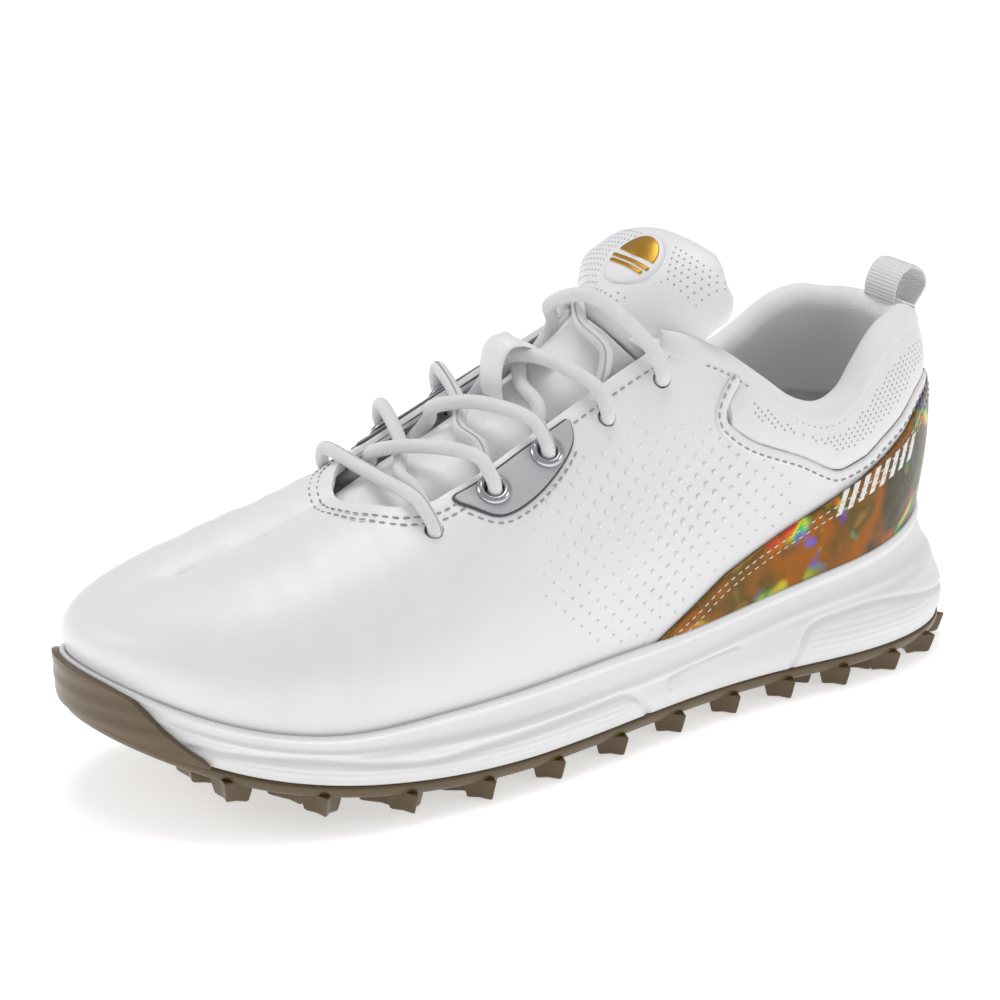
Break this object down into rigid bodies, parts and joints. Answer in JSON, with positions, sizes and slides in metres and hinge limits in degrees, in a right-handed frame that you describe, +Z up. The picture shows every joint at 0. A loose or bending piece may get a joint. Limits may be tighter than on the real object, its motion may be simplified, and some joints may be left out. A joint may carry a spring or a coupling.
{
  "type": "golf shoe",
  "caption": "Low-cut laced golf shoe for the left foot: leather upper with padded collar and tongue on a moulded midsole and a lugged spikeless rubber outsole.",
  "frame": {"origin": "on the ground, below the middle of the shoe's footprint box", "axes": "+X towards the toe, +Y towards the outer side of the left foot, +Z up"},
  "size_m": [0.2998, 0.1048, 0.1461],
  "materials": {
    "gum_rubber": "satin",
    "midsole_foam": "matte",
    "white_leather": "satin",
    "perforated_leather": "satin",
    "lining_textile": "matte",
    "sockliner_textile": "matte",
    "board": "matte",
    "padding_foam": "matte",
    "shank_polymer": "matte",
    "copper_foil": "gloss",
    "silver_grain": "satin",
    "nickel": "gloss",
    "gold_print": "gloss",
    "lace_weave": "matte",
    "ribbon": "satin"
  },
  "bodies": {
    "shoe": {"outsole": "gum_rubber", "midsole": "midsole_foam", "shank": "shank_polymer", "insole_board": "board", "sockliner": "sockliner_textile", "upper_shell": "white_leather", "upper_lining": "lining_textile", "toe_puff": "board", "heel_counter": "board", "heel_overlay": "copper_foil", "collar_panel": "perforated_leather", "collar_foam": "padding_foam", "collar_lining": "lining_textile", "lace_stay_outer": "silver_grain", "lace_stay_inner": "silver_grain", "lace_facing_outer": "lining_textile", "lace_facing_inner": "lining_textile", "eyelet_outer_row2": "nickel", "eyelet_inner_row2": "nickel", "eyelet_outer_row3": "nickel", "eyelet_inner_row3": "nickel", "tongue_lower_skin": "white_leather", "tongue_lower_lining": "lining_textile", "lace_keeper": "white_leather", "pull_tab_anchor": "ribbon", "lace": "lace_weave"},
    "tongue_top": {"tongue_top_skin": "perforated_leather", "tongue_foam": "padding_foam", "tongue_top_lining": "lining_textile", "tongue_badge": "gold_print"},
    "pull_tab": {"pull_tab_loop": "ribbon"}
  },
  "joints": [
    {"name": "tongue_top_flex", "type": "hinge", "parent": "shoe", "child": "tongue_top", "pos_m": [-0.0235, -0.0009, 0.097], "axis": [0, 1, 0], "range_deg": [-8, 0], "stiffness_Nm_per_rad": 0.6},
    {"name": "pull_tab_flex", "type": "hinge", "parent": "shoe", "child": "pull_tab", "pos_m": [-0.1409, -0.0009, 0.1075], "axis": [0, 1, 0], "range_deg": [-20, 4], "stiffness_Nm_per_rad": 0.05}
  ]
}
